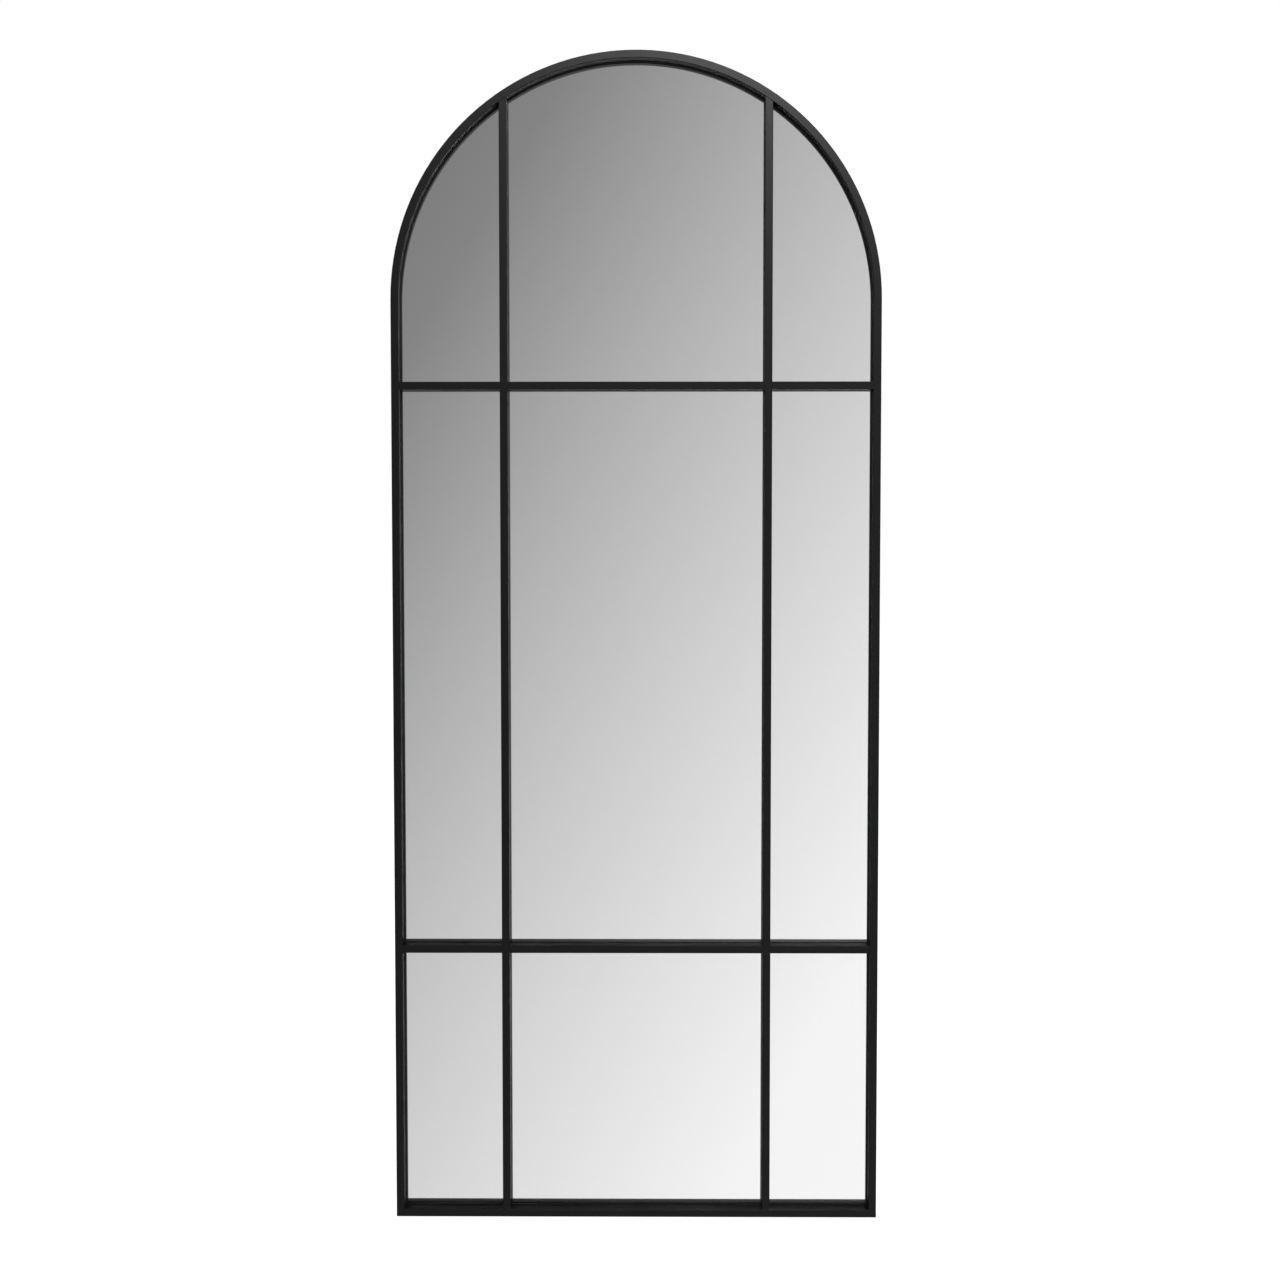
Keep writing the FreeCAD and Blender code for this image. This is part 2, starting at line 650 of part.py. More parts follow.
def clip_screws():
    """Pan head screws: the head stands on +Y, the shank points to -Y."""
    body = unlisted_body("clip_screw_pattern")
    half = sketch_on(body, "XY_Plane", "profile")
    head, shank = "(Sizes.screw_head / 2)", "(Sizes.screw_shank / 2)"
    tip = "Sizes.screw_tip"
    polygon(
        half,
        (
            ("0", "(-Sizes.screw_length)"),
            (tip, "(-Sizes.screw_length)"),
            (shank, f"(-Sizes.screw_length + {shank})"),
            (shank, "0"),
            (head, "0"),
            (head, "(Sizes.screw_head_height * 0.45)"),
            (f"({head} * 0.86)", "(Sizes.screw_head_height * 0.75)"),
            (f"({head} * 0.55)", "(Sizes.screw_head_height * 0.96)"),
            ("0", "Sizes.screw_head_height"),
        ),
    )
    full_turn(body, "turn", half)
    cross_recess(body, "Sizes.screw_head_height")
    seat = f"({REAR} + Sizes.clip_thickness)"
    group("clip_screws", copies(body, "clip_screw", clip_spots(seat)))


def hanger_screws():
    """Countersunk screws, flush with the face of the hanger straps."""
    body = unlisted_body("hanger_screw_pattern")
    half = sketch_on(body, "XY_Plane", "profile")
    head, shank = "(Sizes.screw_head / 2)", "(Sizes.screw_shank / 2)"
    tip = "Sizes.screw_tip"
    polygon(
        half,
        (
            ("0", "(-Sizes.screw_length)"),
            (tip, "(-Sizes.screw_length)"),
            (shank, f"(-Sizes.screw_length + {shank})"),
            (shank, f"({shank} - {head})"),
            (head, "0"),
            ("0", "0"),
        ),
    )
    full_turn(body, "turn", half)
    cross_recess(body, "0.001")
    seat = f"({REAR} + Sizes.strap_thickness)"
    spots = []
    for side in SIDES.values():
        x = f"({side} * {HANGER_CENTRE})"
        spots += [(x, seat, f"({HINGE_LEVEL} - {drop})", 0) for drop in STRAP_SCREWS]
    group("hanger_screws", copies(body, "hanger_screw", spots))


def wall_bumpers():
    """Rubber bumpers on the backs of the stiles, at their feet and under the arch."""
    body = unlisted_body("bumper_pattern")
    half = sketch_on(body, "XY_Plane", "profile")
    foot = "(Sizes.bumper_diameter / 2)"
    top = f"({foot} - Sizes.bumper_draft)"
    corners = (("0", "0"), (foot, "0"), (top, "Sizes.bumper_height"), ("0", "Sizes.bumper_height"))
    polygon(half, corners)
    solid = full_turn(body, "turn", half)
    height = value("Sizes.bumper_height")

    def top_edge(edge):
        return isinstance(edge.Curve, Part.Circle) and abs(edge.CenterOfMass.y - height) < 1e-6

    round_edges(body, solid, top_edge, "Sizes.bumper_edge")
    spots = []
    for side in SIDES.values():
        x = f"({side} * {TUBE_CENTRE})"
        spots.append((x, REAR, "Sizes.foot_bumper_level", 0))
        spots.append((x, REAR, f"({SPRINGING} - Sizes.head_bumper_drop)", 0))
    group("wall_bumpers", copies(body, "bumper", spots))


# ---- hangers ----


def hanger_strap(label, side):
    """A steel strap screwed to the stile, rolled at its top into the knuckle of a ring.

    Its own origin is on the hinge axis, in the plane of the stile's back.
    """
    body = new_body(label)
    leaf = sketch_on(body, "XZ_Plane", "leaf")
    half = "Sizes.strap_width / 2"
    rectangle(leaf, f"(-{half})", "(-Sizes.strap_length)", f"({half})", "0")
    plate = pad(body, "leaf_pad", leaf, "Sizes.strap_thickness", reverse=True)
    foot = -value("Sizes.strap_length")

    def foot_corner(edge):
        across = isinstance(edge.Curve, Part.Line) and abs(edge.Curve.Direction.y) > 0.999
        return across and abs(edge.CenterOfMass.z - foot) < 1e-6

    round_edges(body, plate, foot_corner, "Sizes.strap_corner")
    knuckle = sketch_on(body, "YZ_Plane", "knuckle")
    circle(knuckle, HINGE_STANDOFF, "0", KNUCKLE_RADIUS)
    pad(body, "knuckle_pad", knuckle, "Sizes.strap_width", symmetric=True)
    bore = sketch_on(body, "YZ_Plane", "knuckle_bore")
    circle(bore, HINGE_STANDOFF, "0", KNUCKLE_BORE)
    pocket_through(body, "knuckle_bore_cut", bore, symmetric=True)

    # The end of the rolled strap comes round under the wire and stops just short of the leaf.
    slit = sketch_on(body, "YZ_Plane", "roll_end")
    near = f"({HINGE_STANDOFF} - {KNUCKLE_BORE} + Sizes.roll_gap / 2)"
    rectangle(slit, near, f"(-{KNUCKLE_RADIUS})", f"({near} + Sizes.roll_gap)", "0")
    pocket_through(body, "roll_end_cut", slit, symmetric=True)

    holes = sketch_on(body, "XZ_Plane", "holes")
    cone = sketch_on(body, "XZ_Plane", "countersinks", offset="(-Sizes.strap_thickness)")
    for drop in STRAP_SCREWS:
        circle(holes, "0", f"(-{drop})", "(Sizes.screw_shank / 2 + Sizes.clip_fit)")
        circle(cone, "0", f"(-{drop})", "(Sizes.screw_head / 2 + 0.001)")
    pocket_through(body, "holes_cut", holes)
    before = body.Shape.Volume
    sink = feature(body, "Pocket", "countersink_cut", cone)
    sink.setExpression("Length", "((Sizes.screw_head - Sizes.screw_shank) / 2)")
    sink.Reversed = True
    sink.TaperAngle = -45
    doc.recompute()
    if before - sink.Shape.Volume < 1e-3:
        raise RuntimeError(f"{sink.Name} cuts nothing")
    place(body, x=f"({side} * {HANGER_CENTRE})", y=REAR, z=HINGE_LEVEL)


def d_ring(label, side):
    """A bent wire ring that hangs from its straight side in the knuckle."""
    body = new_body(label)
    path = sketch_on(body, "XZ_Plane", "path")
    half_width = f"({RING_WIDTH} / 2)"
    half = value(half_width)
    bend = value("Sizes.ring_bend")
    leg = value("Sizes.ring_leg")
    up = Vector(0, 0, 1)
    right_corner = Part.Circle(Vector(half - bend, -bend, 0), up, bend)
    left_corner = Part.Circle(Vector(bend - half, -bend, 0), up, bend)
    bow = Part.Circle(Vector(0, -leg, 0), up, half)
    path.addGeometry(Part.LineSegment(Vector(bend - half, 0, 0), Vector(half - bend, 0, 0)), False)
    path.addGeometry(Part.ArcOfCircle(right_corner, 0, math.pi / 2), False)
    path.addGeometry(Part.LineSegment(Vector(half, -bend, 0), Vector(half, -leg, 0)), False)
    path.addGeometry(Part.ArcOfCircle(bow, math.pi, 2 * math.pi), False)
    path.addGeometry(Part.LineSegment(Vector(-half, -leg, 0), Vector(-half, -bend, 0)), False)
    path.addGeometry(Part.ArcOfCircle(left_corner, math.pi / 2, math.pi), False)
    joins = (((0, 2), (1, 2)), ((1, 1), (2, 1)), ((2, 2), (3, 2)))
    joins += (((3, 1), (4, 1)), ((4, 2), (5, 2)), ((5, 1), (0, 1)))
    for (one, one_end), (other, other_end) in joins:
        path.addConstraint(Sketcher.Constraint("Coincident", one, one_end, other, other_end))
    straight = f"({half_width} - Sizes.ring_bend)"
    bind_point(path, 0, 1, f"(-{straight})", "0")
    bind_point(path, 0, 2, straight, "0")
    bind_point(path, 1, 3, straight, "(-Sizes.ring_bend)")
    bind_point(path, 2, 1, None, "(-Sizes.ring_bend)")
    bind_point(path, 2, 2, half_width, "(-Sizes.ring_leg)")
    bind_point(path, 3, 3, "0", "(-Sizes.ring_leg)")
    bind_point(path, 4, 1, None, "(-Sizes.ring_leg)")
    bind_point(path, 4, 2, None, "(-Sizes.ring_bend)")
    bind_point(path, 5, 3, f"(-{straight})", "(-Sizes.ring_bend)")
    section = sketch_on(body, "YZ_Plane", "wire")
    circle(section, "0", "0", "(Sizes.ring_wire / 2)")
    doc.recompute()
    pipe = feature(body, "AdditivePipe", "bend", section)
    pipe.Spine = (path, [])
    doc.recompute()
    place(body, x=f"({side} * {HANGER_CENTRE})", y=f"({REAR} + {HINGE_STANDOFF})", z=HINGE_LEVEL)


# ---- the mirror ----

arch_tube()
bottom_rail()
for side_name, side_sign in SIDES.items():
    stile(f"{side_name}_stile", side_sign)
    upright_bar(f"{side_name}_upright_bar", side_sign)
    hanger_strap(f"{side_name}_hanger_strap", side_sign)
    d_ring(f"{side_name}_d_ring", side_sign)
transoms()
upright_tapes()
transom_tapes()
mirror_pane()
mirror_coating()
backboard()
setting_blocks()
edge_strips()
retaining_clips()
clip_screws()
hanger_screws()
wall_bumpers()
doc.recompute()

for thing in doc.Objects:
    if "Invalid" in thing.State or "Error" in thing.State:
        raise RuntimeError(f"{thing.Name}: {thing.State}")

os.makedirs("parts", exist_ok=True)
for label, thing in sorted(parts.items()):
    shape = thing.Shape
    if shape.isNull() or not shape.isValid() or not shape.Solids:
        raise RuntimeError(f"{label} has no valid solid")
    shape.exportStep(f"parts/{label}.step")
    print(f"{label}: {len(shape.Solids)} solid(s), {shape.Volume:.0f} cubic mm")
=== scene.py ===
import json
import math

import bmesh
import bpy
from mathutils import Matrix, Vector


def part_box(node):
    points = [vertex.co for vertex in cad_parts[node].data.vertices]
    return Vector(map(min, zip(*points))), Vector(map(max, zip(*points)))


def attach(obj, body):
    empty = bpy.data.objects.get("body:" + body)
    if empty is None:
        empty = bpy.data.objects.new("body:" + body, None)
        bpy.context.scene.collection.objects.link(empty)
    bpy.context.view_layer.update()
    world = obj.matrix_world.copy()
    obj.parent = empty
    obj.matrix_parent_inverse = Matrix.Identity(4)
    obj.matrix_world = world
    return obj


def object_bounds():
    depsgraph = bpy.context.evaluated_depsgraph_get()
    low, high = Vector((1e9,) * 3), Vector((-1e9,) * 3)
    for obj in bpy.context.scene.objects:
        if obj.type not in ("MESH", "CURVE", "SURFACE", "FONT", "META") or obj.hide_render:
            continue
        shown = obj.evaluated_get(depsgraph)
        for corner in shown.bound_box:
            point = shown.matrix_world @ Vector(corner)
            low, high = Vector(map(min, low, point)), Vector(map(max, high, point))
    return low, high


# The looks of an arched window mirror: satin black powder coat on the steel, a clear pane over its
# silver, and a plain back of fibreboard, zinc plated clips, hangers and rubber bumpers.
# Metres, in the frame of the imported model: +X right, +Y from the front to the wall, +Z up.
# Colours are in linear light.

MM = 0.001
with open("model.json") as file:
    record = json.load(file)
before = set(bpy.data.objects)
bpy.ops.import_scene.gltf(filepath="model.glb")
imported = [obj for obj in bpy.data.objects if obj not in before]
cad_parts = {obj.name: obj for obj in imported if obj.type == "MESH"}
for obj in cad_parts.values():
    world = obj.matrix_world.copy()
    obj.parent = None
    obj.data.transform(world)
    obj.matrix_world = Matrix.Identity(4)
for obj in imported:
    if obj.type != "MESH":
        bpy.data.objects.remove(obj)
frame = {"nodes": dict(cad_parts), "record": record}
CAD_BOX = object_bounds()


# ---- node helpers ----


class Finish:
    """A Principled material, with short calls for the nodes that give it its detail."""

    def __init__(self, name, settings):
        """Makes the shader, with its own sockets set to plain values by name."""
        self.material = bpy.data.materials.new(name)
        self.material.use_nodes = True
        self.tree = self.material.node_tree
        self.tree.nodes.clear()
        output = self.tree.nodes.new("ShaderNodeOutputMaterial")
        self.shader = self.tree.nodes.new("ShaderNodeBsdfPrincipled")
        self.tree.links.new(self.shader.outputs["BSDF"], output.inputs["Surface"])
        for socket, value in settings.items():
            self.shader.inputs[socket].default_value = value

    def feed(self, socket, value):
        """Gives an input another node's output, or a plain value."""
        if isinstance(value, bpy.types.NodeSocket):
            self.tree.links.new(value, socket)
        else:
            socket.default_value = value

    def node(self, kind, **inputs):
        """A node whose inputs, by name, are outputs of others or plain values."""
        made = self.tree.nodes.new(kind)
        for name, value in inputs.items():
            self.feed(made.inputs[name], value)
        return made

    def place(self, stretch=(1, 1, 1), turn=0.0):
        """Object coordinates in metres, turned about Y and then multiplied by stretch.

        A stretch below 1 draws a pattern out along that axis, as a grain.
        """
        coordinates = self.node("ShaderNodeTexCoord")
        mapping = self.node(
            "ShaderNodeMapping",
            Vector=coordinates.outputs["Object"],
            Rotation=(0.0, turn, 0.0),
            Scale=tuple(1.0 / factor for factor in stretch),
        )
        mapping.vector_type = "TEXTURE"
        return mapping.outputs["Vector"]

    def noise(self, size, detail=2.0, roughness=0.5, stretch=(1, 1, 1), turn=0.0, distortion=0.0):
        """Noise whose features are about size metres across, from 0 to 1."""
        made = self.node(
            "ShaderNodeTexNoise",
            Vector=self.place(stretch, turn),
            Scale=1.0 / size,
            Detail=detail,
            Roughness=roughness,
            Distortion=distortion,
        )
        return made.outputs["Fac"]

    def cells(self, size):
        """Distance to the nearest of cells that are about size metres across."""
        made = self.node("ShaderNodeTexVoronoi", Vector=self.place(), Scale=1.0 / size)
        return made.outputs["Distance"]

    def span(self, source, low, high, start=0.0, end=1.0):
        """Maps start..end of a value to low..high, clamped."""
        made = self.tree.nodes.new("ShaderNodeMapRange")
        names = ("Value", "From Min", "From Max", "To Min", "To Max")
        for name, value in zip(names, (source, start, end, low, high)):
            self.feed(made.inputs[name], value)
        return made.outputs["Result"]

    def combine(self, operation, one, other=0.0):
        """A Math node of one or two values."""
        made = self.tree.nodes.new("ShaderNodeMath")
        made.operation = operation
        self.feed(made.inputs[0], one)
        self.feed(made.inputs[1], other)
        return made.outputs["Value"]

    def blend(self, amount, one, other):
        """A colour between two colours."""
        made = self.tree.nodes.new("ShaderNodeMix")
        made.data_type = "RGBA"
        self.feed(made.inputs["Factor"], amount)
        sockets = [socket for socket in made.inputs if socket.type == "RGBA"]
        for socket, colour in zip(sockets, (one, other)):
            linked = isinstance(colour, bpy.types.NodeSocket)
            self.feed(socket, colour if linked else (*colour, 1.0))
        return next(socket for socket in made.outputs if socket.type == "RGBA")

    def relief(self, height, depth, below=None):
        """Bump of this real depth in metres, on top of another bump."""
        made = self.node("ShaderNodeBump", Height=height, Distance=depth, Strength=1.0)
        if below is not None:
            self.feed(made.inputs["Normal"], below)
        return made.outputs["Normal"]

    def complete(self, colour, roughness, normal=None):
        """Links what was made to the shader, and gives the material."""
        for name, source in (("Base Color", colour), ("Roughness", roughness), ("Normal", normal)):
            if source is not None:
                self.feed(self.shader.inputs[name], source)
        return self.material


# ---- finishes ----

# Size and depth of the coat's orange peel and grit, and of the seams that grinding leaves.
PEEL_SIZE, PEEL_DEPTH = 1.4 * MM, 0.005 * MM
GRIT_SIZE, GRIT_DEPTH = 0.35 * MM, 0.0015 * MM
SEAM_WIDTH, SEAM_DEPTH = 1.4 * MM, 0.02 * MM
# How much a scuff shows in the coat's colour, and what it takes from the gloss.
SCUFF_SHOW, SCUFF_DULL = 0.22, 0.12
# How far in from the edge of the pane its black sealing lacquer reaches, and its roughness. The black
# rim is also painted shade: it stands in for the dark gap between the pane and the frame.
SEAL_AND_SHADE_REACH, SEAL_ROUGHNESS = 0.75 * MM, 0.6
# Ways that the fibres of the back lie, in degrees about Y.
FIBRE_ANGLES = (11, 52, 97, 134, 168)


def ground_seams(coat):
    """1 along the ground welds: across both stiles at the springing line, and along both mitres."""
    low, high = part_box("bottom_rail")
    half_width, face = high.x, high.z - low.z
    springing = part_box("left_stile")[1].z
    point = coat.node("ShaderNodeSeparateXYZ", Vector=coat.place())
    level = point.outputs["Z"]
    from_edge = coat.combine("SUBTRACT", half_width, coat.combine("ABSOLUTE", point.outputs["X"]))
    off_mitre = coat.combine("ABSOLUTE", coat.combine("SUBTRACT", from_edge, level))
    off_springing = coat.combine("ABSOLUTE", coat.combine("SUBTRACT", level, springing))
    seams = []
    for off_seam, beyond_tube in ((off_mitre, level), (off_springing, from_edge)):
        seam = coat.span(off_seam, 1.0, 0.0, end=SEAM_WIDTH)
        on_tube = coat.span(beyond_tube, 1.0, 0.0, start=face, end=face + SEAM_WIDTH)
        seams.append(coat.combine("MULTIPLY", seam, on_tube))
    return coat.combine("MAXIMUM", *seams)


def black_coat():
    """Satin powder coat: fine orange peel, a little grit, faint scuffs, and the ground welds.

    The gloss is the coat layer's alone, so that it stays low where the faces are seen edge on.
    """
    dark, light, scuffed = (0.0020, 0.0021, 0.0022), (0.0038, 0.0038, 0.0039), (0.020, 0.020, 0.020)
    coat = Finish(
        "satin black powder coat",
        {"Specular IOR Level": 0.0, "Coat IOR": 1.5, "Coat Roughness": 0.32},
    )
    cloud = coat.noise(0.09, detail=4.0, roughness=0.6)
    grit = coat.cells(GRIT_SIZE)
    scuff_field = coat.noise(6 * MM, detail=6.0, roughness=0.7, stretch=(1.0, 1.0, 0.25))
    scuffs = coat.span(scuff_field, 0.0, 1.0, start=0.66, end=0.78)
    colour = coat.blend(cloud, dark, light)
    colour = coat.blend(coat.combine("MULTIPLY", scuffs, SCUFF_SHOW), colour, scuffed)
    rough = coat.span(cloud, 0.40, 0.50)
    satin = coat.span(cloud, 0.36, 0.30)
    gloss = coat.combine("ADD", satin, coat.combine("MULTIPLY", scuffs, -SCUFF_DULL))
    coat.feed(coat.shader.inputs["Coat Weight"], gloss)
    peel = coat.noise(PEEL_SIZE, detail=1.0, roughness=0.4)
    normal = coat.relief(peel, PEEL_DEPTH)
    normal = coat.relief(grit, GRIT_DEPTH, normal)
    normal = coat.relief(ground_seams(coat), SEAM_DEPTH, normal)
    coat.feed(coat.shader.inputs["Coat Normal"], normal)
    return coat.complete(colour, rough, normal)


def edge_seal_and_painted_shade(glass):
    """1 on the rim of the pane, all the way round its arched outline, and 0 inside it: black sealing
    lacquer that is also painted shade for the gap at the frame.
    """
    low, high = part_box("mirror_pane")
    radius = high.x
    point = glass.node("ShaderNodeSeparateXYZ", Vector=glass.place())
    across, level = point.outputs["X"], point.outputs["Z"]
    above = glass.combine("MAXIMUM", glass.combine("SUBTRACT", level, high.z - radius))
    squares = [glass.combine("MULTIPLY", length, length) for length in (across, above)]
    reach = glass.combine("POWER", glass.combine("ADD", *squares), 0.5)
    on_arch = glass.combine("GREATER_THAN", reach, radius - SEAL_AND_SHADE_REACH)
    at_foot = glass.combine("LESS_THAN", level, low.z + SEAL_AND_SHADE_REACH)
    return glass.combine("MAXIMUM", on_arch, at_foot)


def clear_glass():
    """Float glass: clear, with the lightest film of dust, its ground edge sealed in black; the black
    rim is also painted shade for the gap between pane and frame.
    """
    clear, lacquer_and_painted_shade = (0.998, 1.0, 0.999), (0.006, 0.006, 0.006)
    glass = Finish("clear float glass", {"Roughness": 0.0, "IOR": 1.52})
    seal_and_painted_shade = edge_seal_and_painted_shade(glass)
    # Sealing lacquer and painted shade: the rim is black and lets no light through, in place of the
    # dark gap at the frame.
    colour = glass.blend(seal_and_painted_shade, clear, lacquer_and_painted_shade)
    glass.feed(glass.shader.inputs["Transmission Weight"], glass.combine("SUBTRACT", 1.0, seal_and_painted_shade))
    dust = glass.noise(0.05, detail=5.0, roughness=0.6)
    film = glass.span(dust, 0.0, 0.012, start=0.5)
    rim_roughness = glass.combine("MULTIPLY", seal_and_painted_shade, SEAL_ROUGHNESS)
    return glass.complete(colour, glass.combine("MAXIMUM", film, rim_roughness))


def mirror_silver():
    """Silver behind the pane, with the slight roller wave of float glass."""
    silver = Finish("mirror silver", {"Metallic": 1.0, "Roughness": 0.0})
    tone = silver.noise(0.4)
    colour = silver.blend(tone, (0.930, 0.928, 0.929), (0.938, 0.936, 0.937))
    wave = silver.noise(0.16, detail=0.0, stretch=(0.35, 1.0, 1.0))
    return silver.complete(colour, None, silver.relief(wave, depth=0.004 * MM))


def fibreboard():
    """Hard fibreboard: a pressed brown face with fine fibres lying every way, and darker flecks."""
    dark, light = (0.165, 0.092, 0.046), (0.250, 0.150, 0.082)
    fibre_colour, fleck_colour = (0.360, 0.240, 0.145), (0.060, 0.033, 0.018)
    board = Finish("bare brown fibreboard", {"Specular IOR Level": 0.35})
    cloud = board.noise(0.14, detail=5.0, roughness=0.65)
    colour = board.blend(cloud, dark, light)
    height = 0.0
    for degrees in FIBRE_ANGLES:
        fibre = board.noise(
            0.8 * MM,
            detail=3.0,
            roughness=0.6,
            stretch=(1.0, 1.0, 0.14),
            turn=math.radians(degrees),
            distortion=0.9,
        )
        pale = board.span(fibre, 0.0, 0.45, start=0.58, end=0.78)
        colour = board.blend(pale, colour, fibre_colour)
        height = board.combine("ADD", height, fibre)
    fleck_field = board.noise(2.2 * MM, detail=4.0, roughness=0.7)
    fleck = board.span(fleck_field, 0.0, 0.8, start=0.68, end=0.78)
    colour = board.blend(fleck, colour, fleck_colour)
    return board.complete(colour, board.span(cloud, 0.46, 0.66), board.relief(height, 0.035 * MM))


def zinc_plate():
    """Bright zinc on rolled sheet: cloudy, faintly blue and straw, with fine rolling lines."""
    dark, light, straw = (0.30, 0.31, 0.33), (0.54, 0.55, 0.57), (0.54, 0.49, 0.37)
    zinc = Finish("bright zinc plate", {"Metallic": 1.0})
    cloud = zinc.noise(7 * MM, detail=4.0, roughness=0.6)
    tint = zinc.noise(16 * MM)
    colour = zinc.blend(zinc.span(cloud, 0.0, 1.0, start=0.35, end=0.65), dark, light)
    colour = zinc.blend(zinc.span(tint, 0.0, 0.45, start=0.5, end=0.8), colour, straw)
    lines = zinc.noise(0.25 * MM, stretch=(1.0, 1.0, 0.03))
    return zinc.complete(colour, zinc.span(cloud, 0.30, 0.44), zinc.relief(lines, 0.006 * MM))


def screw_steel():
    """Zinc plated screws, smoother than the sheet, a little worn in patches."""
    steel = Finish("plated screw steel", {"Metallic": 1.0})
    wear = steel.noise(1.5 * MM, detail=4.0, roughness=0.65)
    colour = steel.blend(wear, (0.44, 0.45, 0.47), (0.64, 0.65, 0.66))
    grain = steel.noise(0.2 * MM)
    return steel.complete(colour, steel.span(wear, 0.20, 0.36), steel.relief(grain, 0.004 * MM))


def ring_wire():
    """Drawn wire, plated bright: fine lines and small dull patches."""
    wire = Finish("bright plated wire", {"Metallic": 1.0})
    patch = wire.noise(3 * MM, detail=4.0, roughness=0.6)
    colour = wire.blend(patch, (0.53, 0.54, 0.56), (0.70, 0.71, 0.72))
    lines = wire.noise(0.3 * MM, stretch=(1.0, 1.0, 0.1))
    return wire.complete(colour, wire.span(patch, 0.16, 0.30), wire.relief(lines, 0.004 * MM))


def rubber(name, shade, grain):
    """Moulded rubber: nearly black, matt, with a fine grain and a bloom of paler patches."""
    made = Finish(name, {"Specular IOR Level": 0.35})
    bloom = made.noise(4 * MM, detail=4.0, roughness=0.6)
    colour = made.blend(bloom, (shade * 0.8,) * 3, (shade * 1.5, shade * 1.5, shade * 1.45))
    pits = made.noise(grain)
    return made.complete(colour, made.span(bloom, 0.62, 0.80), made.relief(pits, grain * 0.06))


def foam():
    """Closed-cell foam tape: small bubbles, dull black."""
    made = Finish("black foam tape", {"Specular IOR Level": 0.25})
    bubbles = made.cells(0.45 * MM)
    colour = made.blend(bubbles, (0.008, 0.008, 0.008), (0.022, 0.022, 0.022))
    return made.complete(colour, made.span(bubbles, 0.75, 0.92), made.relief(bubbles, 0.08 * MM))


def dress_nodes():
    """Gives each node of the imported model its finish, by the slot that the record names."""
    finishes = {
        "frame_black": black_coat(),
        "foam_tape": foam(),
        "clear_glass": clear_glass(),
        "mirror_silver": mirror_silver(),
        "fibreboard": fibreboard(),
        "block_rubber": rubber("setting block rubber", 0.020, 0.5 * MM),
        "zinc_plate": zinc_plate(),
        "screw_steel": screw_steel(),
        "ring_steel": ring_wire(),
        "bumper_rubber": rubber("bumper rubber", 0.030, 0.3 * MM),
    }
    for part in frame["record"]["subparts"]:
        node = frame["nodes"][part["node"]]
        for slot in node.material_slots:
            slot.material = finishes[part["material_slot"]]
    return finishes


# ---- welds on the back ----

BEAD_WIDTH = 3.6 * MM
BEAD_HEIGHT = 0.7 * MM
# How deep a bead sits in the tube, and how far it stops short of the tube's edges.
BEAD_ROOT = 0.4 * MM
BEAD_MARGIN = 0.8 * MM
# Length of one ripple, and the share of a bead's height and width that it takes.
RIPPLE_LENGTH = 1.3 * MM
RIPPLE_DEPTH = 0.30
RIPPLE_NARROWING = 0.10
# How late a bead tapers to its ends: a higher power keeps it full for longer.
TAPER_POWER = 6
BEAD_CUTS = 27


def weld_bead(name, start, end, coat):
    """A bead of weld under the coat on the frame's rear face, from start to end in X and Z."""
    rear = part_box("left_stile")[1].y
    along = Vector((end[0] - start[0], 0.0, end[1] - start[1]))
    half_length = along.length / 2
    bead = bmesh.new()
    bmesh.ops.create_cube(bead, size=2.0)
    bmesh.ops.subdivide_edges(bead, edges=bead.edges[:], cuts=BEAD_CUTS, use_grid_fill=True)
    for vertex in bead.verts:
        u, v, w = vertex.co
        ripple = 1.0 - RIPPLE_DEPTH * abs(math.sin(math.pi * u * half_length / RIPPLE_LENGTH))
        taper = math.sqrt(max(0.0, 1.0 - abs(u) ** TAPER_POWER))
        narrow = taper * (1.0 - RIPPLE_NARROWING * (1.0 - ripple))
        crown = BEAD_HEIGHT * taper * ripple * math.sqrt(max(0.0, 1.0 - v * v))
        height = crown * (w + 1) / 2 - BEAD_ROOT * (1 - w) / 2
        vertex.co = (u * half_length, v * narrow * BEAD_WIDTH / 2, height)
    bmesh.ops.remove_doubles(bead, verts=bead.verts[:], dist=0.001 * MM)
    bmesh.ops.recalc_face_normals(bead, faces=bead.faces[:])
    x_axis = along.normalized()
    z_axis = Vector((0.0, 1.0, 0.0))
    turn = Matrix((x_axis, z_axis.cross(x_axis), z_axis)).transposed().to_4x4()
    middle = Vector(((start[0] + end[0]) / 2, rear, (start[1] + end[1]) / 2))
    bmesh.ops.transform(bead, matrix=Matrix.Translation(middle) @ turn, verts=bead.verts[:])
    for face in bead.faces:
        face.smooth = True
    mesh = bpy.data.meshes.new(name)
    bead.to_mesh(mesh)
    bead.free()
    mesh.materials.append(coat)
    piece = bpy.data.objects.new(name, mesh)
    bpy.context.scene.collection.objects.link(piece)
    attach(piece, "mirror")


def rear_welds(coat):
    """Beads across the springing joints and along the mitres, on the unground back."""
    low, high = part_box("bottom_rail")
    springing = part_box("left_stile")[1].z
    face = high.z - low.z
    outer, inner = high.x - BEAD_MARGIN, high.x - face + BEAD_MARGIN
    foot, top = low.z + BEAD_MARGIN, high.z - BEAD_MARGIN
    for name, side in (("left", -1), ("right", 1)):
        weld_bead(f"{name}_springing_weld", (side * inner, springing), (side * outer, springing), coat)
        weld_bead(f"{name}_mitre_weld", (side * outer, foot), (side * inner, top), coat)


# ---- camera, light and floor ----

# Camera: where it stands, how it is turned in degrees, and its focal length in pixels of a picture
# that is 1280 pixels wide.
IMAGE_WIDTH = 1280
FOCAL_PIXELS = 1950
CAMERA_PLACE = (0.030, -3.0125, 1.069)
CAMERA_PITCH = 3.144
CAMERA_YAW = 0.455
CAMERA_ROLL = 0.010
CAMERA_CLIP = (0.05, 200.0)
SENSOR_WIDTH = 36.0

